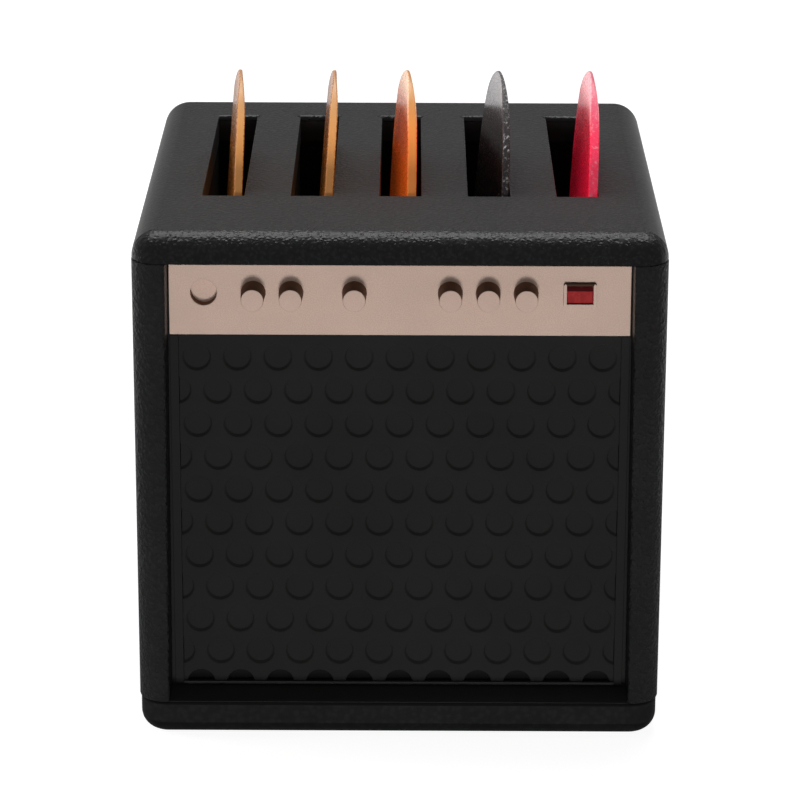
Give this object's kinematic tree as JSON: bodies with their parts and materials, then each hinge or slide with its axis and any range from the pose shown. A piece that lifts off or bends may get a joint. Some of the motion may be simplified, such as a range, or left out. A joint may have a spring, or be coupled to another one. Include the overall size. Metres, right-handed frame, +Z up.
{
  "type": "guitar pick holder",
  "caption": "Desktop holder shaped like a small practice amplifier, with front-to-back slots in its top that keep guitar picks standing on edge.",
  "frame": {"origin": "centre of the underside of the case, on the surface that it stands on", "axes": "+Z up, -Y towards the grille front, +X to the right seen from the front"},
  "size_m": [0.06, 0.0654, 0.0714],
  "materials": {
    "case_black": "black moulded plastic with a fine pebbled, cloth-like skin and a low sheen",
    "grille_black": "smooth black moulded plastic with shallow round dimples",
    "inner_black": "plain black plastic sheet",
    "insert_foam": "black closed-cell foam with cut sides",
    "strip_champagne": "satin champagne paint with a very fine speckle",
    "knob_champagne": "satin champagne plastic",
    "lens_red": "glossy translucent red",
    "screw_steel": "plain zinc-coated steel",
    "pick_amber": "translucent amber pick plastic with satin edges",
    "pick_orange": "translucent orange pick plastic with satin edges",
    "pick_smoke": "translucent smoky black pick plastic with a rough edge",
    "pick_pink": "translucent pink-red pick plastic with satin edges"
  },
  "bodies": {
    "case": {"top_cover": "case_black", "pocket_insert": "insert_foam", "shelf_plate": "inner_black", "body_shell": "case_black", "base_plate": "case_black", "base_screws": "screw_steel", "grille_panel": "grille_black", "control_panel": "strip_champagne", "jack_socket": "strip_champagne", "switch_bezel": "strip_champagne", "switch_lens": "lens_red", "knob_1": "knob_champagne", "knob_2": "knob_champagne", "knob_3": "knob_champagne", "knob_4": "knob_champagne", "knob_5": "knob_champagne", "knob_6": "knob_champagne"},
    "pick_body_1": {"pick_1": "pick_amber"},
    "pick_body_2": {"pick_2": "pick_amber"},
    "pick_body_3": {"pick_3": "pick_orange"},
    "pick_body_4": {"pick_4": "pick_smoke"},
    "pick_body_5": {"pick_5": "pick_pink"}
  },
  "joints": [
    {"name": "pick_1_lift", "type": "slide", "parent": "case", "child": "pick_body_1", "axis": [0, 0, 1], "range_m": [0, 0.03]},
    {"name": "pick_2_lift", "type": "slide", "parent": "case", "child": "pick_body_2", "axis": [0, 0, 1], "range_m": [0, 0.03]},
    {"name": "pick_3_lift", "type": "slide", "parent": "case", "child": "pick_body_3", "axis": [0, 0, 1], "range_m": [0, 0.03]},
    {"name": "pick_4_lift", "type": "slide", "parent": "case", "child": "pick_body_4", "axis": [0, 0, 1], "range_m": [0, 0.03]},
    {"name": "pick_5_lift", "type": "slide", "parent": "case", "child": "pick_body_5", "axis": [0, 0, 1], "range_m": [0, 0.03]}
  ]
}
